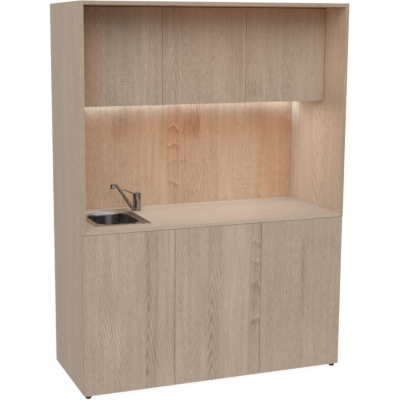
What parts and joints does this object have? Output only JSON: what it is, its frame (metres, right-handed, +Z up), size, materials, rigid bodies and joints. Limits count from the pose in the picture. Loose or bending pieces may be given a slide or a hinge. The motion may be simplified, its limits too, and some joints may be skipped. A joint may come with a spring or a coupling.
{
  "type": "kitchenette unit",
  "caption": "Tall compact kitchen in light oak decor: lower and upper cupboards with plain doors, and a lit niche with a worktop, a small steel sink and a single-lever mixer.",
  "frame": {"origin": "on the floor, under the middle of the unit's box", "axes": "+Z up, +Y from the front to the rear, +X to the right seen from the front"},
  "size_m": [1.47, 0.6, 2],
  "materials": {
    "oak_decor_case": "matt embossed light oak decor on board",
    "oak_decor_worktop": "matt light oak decor, grain along the worktop",
    "oak_decor_lower_door_left": "matt embossed light oak decor, grain upright",
    "oak_decor_lower_door_middle": "matt embossed light oak decor, grain upright",
    "oak_decor_lower_door_right": "matt embossed light oak decor, grain upright",
    "oak_decor_upper_door_left": "matt embossed light oak decor, grain upright",
    "oak_decor_upper_door_middle": "matt embossed light oak decor, grain upright",
    "oak_decor_upper_door_right": "matt embossed light oak decor, grain upright",
    "rear_board_white": "plain white-faced thin fibreboard",
    "hinge_steel": "nickel-plated pressed steel",
    "fitting_zinc": "bright die-cast zinc",
    "socket_plastic": "dark grey moulded plastic",
    "foot_plastic": "black moulded plastic",
    "latch_plastic": "grey moulded plastic",
    "light_aluminium": "satin anodised",
    "light_diffuser": "frosted, lit from behind",
    "light_strip": "flexible strip with yellow light chips",
    "sink_steel": "brushed stainless steel",
    "clip_steel": "zinc-plated bent steel",
    "mixer_chrome": "polished chrome plating",
    "cartridge_plastic": "chromed cartridge cover",
    "nut_brass": "plain brass",
    "waste_plastic": "white moulded plastic"
  },
  "bodies": {
    "case": {"side_panel_left": "oak_decor_case", "side_panel_right": "oak_decor_case", "top_panel": "oak_decor_case", "bottom_panel": "oak_decor_case", "worktop": "oak_decor_worktop", "rear_board": "rear_board_white", "niche_back_panel": "oak_decor_case", "upper_bottom_panel": "oak_decor_case", "lower_partition_left": "oak_decor_case", "lower_partition_right": "oak_decor_case", "upper_partition_left": "oak_decor_case", "upper_partition_right": "oak_decor_case", "lower_shelf_middle": "oak_decor_case", "lower_shelf_right": "oak_decor_case", "upper_shelf_left": "oak_decor_case", "upper_shelf_middle": "oak_decor_case", "upper_shelf_right": "oak_decor_case", "shelf_pins": "fitting_zinc", "cam_fittings": "fitting_zinc", "foot_sockets": "socket_plastic", "hinge_arms": "hinge_steel", "hinge_plates": "hinge_steel", "latch_housings": "latch_plastic", "light_profile": "light_aluminium", "light_diffuser": "light_diffuser", "light_strip": "light_strip", "sink_basin": "sink_steel", "sink_clips": "clip_steel", "drain_fitting": "sink_steel", "drain_nut": "waste_plastic", "drain_trap": "waste_plastic", "mixer_base_ring": "mixer_chrome", "mixer_body": "mixer_chrome", "mixer_fixing_nut": "nut_brass"},
    "lower_left_door": {"lower_door_left": "oak_decor_lower_door_left", "hinge_cups_lower_left": "hinge_steel"},
    "lower_middle_door": {"lower_door_middle": "oak_decor_lower_door_middle", "hinge_cups_lower_middle": "hinge_steel"},
    "lower_right_door": {"lower_door_right": "oak_decor_lower_door_right", "hinge_cups_lower_right": "hinge_steel"},
    "upper_left_door": {"upper_door_left": "oak_decor_upper_door_left", "hinge_cups_upper_left": "hinge_steel"},
    "upper_middle_door": {"upper_door_middle": "oak_decor_upper_door_middle", "hinge_cups_upper_middle": "hinge_steel"},
    "upper_right_door": {"upper_door_right": "oak_decor_upper_door_right", "hinge_cups_upper_right": "hinge_steel"},
    "latch_left": {"latch_plunger_left": "latch_plastic"},
    "latch_middle": {"latch_plunger_middle": "latch_plastic"},
    "latch_right": {"latch_plunger_right": "latch_plastic"},
    "levelling_foot_front_left": {"foot_front_left": "foot_plastic"},
    "levelling_foot_front_right": {"foot_front_right": "foot_plastic"},
    "levelling_foot_rear_left": {"foot_rear_left": "foot_plastic"},
    "levelling_foot_rear_right": {"foot_rear_right": "foot_plastic"},
    "strainer": {"drain_strainer": "sink_steel"},
    "spout": {"mixer_spout": "mixer_chrome", "mixer_aerator": "mixer_chrome"},
    "cartridge": {"mixer_carrier": "cartridge_plastic"},
    "lever": {"mixer_lever": "mixer_chrome"}
  },
  "joints": [
    {"name": "lower_left_door_hinge", "type": "hinge", "parent": "case", "child": "lower_left_door", "pos_m": [-0.727, -0.294, 0.4375], "axis": [0, 0, -1], "range_deg": [0, 110]},
    {"name": "lower_middle_door_hinge", "type": "hinge", "parent": "case", "child": "lower_middle_door", "pos_m": [-0.23733, -0.294, 0.4375], "axis": [0, 0, -1], "range_deg": [0, 110]},
    {"name": "lower_right_door_hinge", "type": "hinge", "parent": "case", "child": "lower_right_door", "pos_m": [0.727, -0.294, 0.4375], "axis": [0, 0, 1], "range_deg": [0, 110]},
    {"name": "upper_left_door_hinge", "type": "hinge", "parent": "case", "child": "upper_left_door", "pos_m": [-0.707, -0.086, 1.727], "axis": [0, 0, -1], "range_deg": [0, 90]},
    {"name": "upper_middle_door_hinge", "type": "hinge", "parent": "case", "child": "upper_middle_door", "pos_m": [-0.23067, -0.086, 1.727], "axis": [0, 0, -1], "range_deg": [0, 110]},
    {"name": "upper_right_door_hinge", "type": "hinge", "parent": "case", "child": "upper_right_door", "pos_m": [0.707, -0.086, 1.727], "axis": [0, 0, 1], "range_deg": [0, 90]},
    {"name": "latch_left_press", "type": "slide", "parent": "case", "child": "latch_left", "axis": [0, 1, 0], "range_m": [0, 0.0015], "stiffness_N_per_m": 300, "springref_m": -0.003},
    {"name": "latch_middle_press", "type": "slide", "parent": "case", "child": "latch_middle", "axis": [0, 1, 0], "range_m": [0, 0.0015], "stiffness_N_per_m": 300, "springref_m": -0.003},
    {"name": "latch_right_press", "type": "slide", "parent": "case", "child": "latch_right", "axis": [0, 1, 0], "range_m": [0, 0.0015], "stiffness_N_per_m": 300, "springref_m": -0.003},
    {"name": "levelling_foot_front_left_turn", "type": "hinge", "parent": "case", "child": "levelling_foot_front_left", "pos_m": [-0.708, -0.272, 0.009], "axis": [0, 0, 1], "continuous": true},
    {"name": "levelling_foot_front_right_turn", "type": "hinge", "parent": "case", "child": "levelling_foot_front_right", "pos_m": [0.708, -0.272, 0.009], "axis": [0, 0, 1], "continuous": true},
    {"name": "levelling_foot_rear_left_turn", "type": "hinge", "parent": "case", "child": "levelling_foot_rear_left", "pos_m": [-0.708, 0.272, 0.009], "axis": [0, 0, 1], "continuous": true},
    {"name": "levelling_foot_rear_right_turn", "type": "hinge", "parent": "case", "child": "levelling_foot_rear_right", "pos_m": [0.708, 0.272, 0.009], "axis": [0, 0, 1], "continuous": true},
    {"name": "strainer_lift", "type": "slide", "parent": "case", "child": "strainer", "axis": [0, 0, 1], "range_m": [0, 0.06]},
    {"name": "spout_swivel", "type": "hinge", "parent": "case", "child": "spout", "pos_m": [-0.299, 0.153, 0.8903], "axis": [0, 0, 1], "range_deg": [-45, 140]},
    {"name": "temperature_turn", "type": "hinge", "parent": "case", "child": "cartridge", "pos_m": [-0.299, 0.153, 0.9519], "axis": [0, 0, 1], "range_deg": [-45, 45]},
    {"name": "lever_lift", "type": "hinge", "parent": "cartridge", "child": "lever", "pos_m": [-0.299, 0.153, 0.9559], "axis": [-0.4226, 0.9063, 0], "range_deg": [0, 22]}
  ]
}
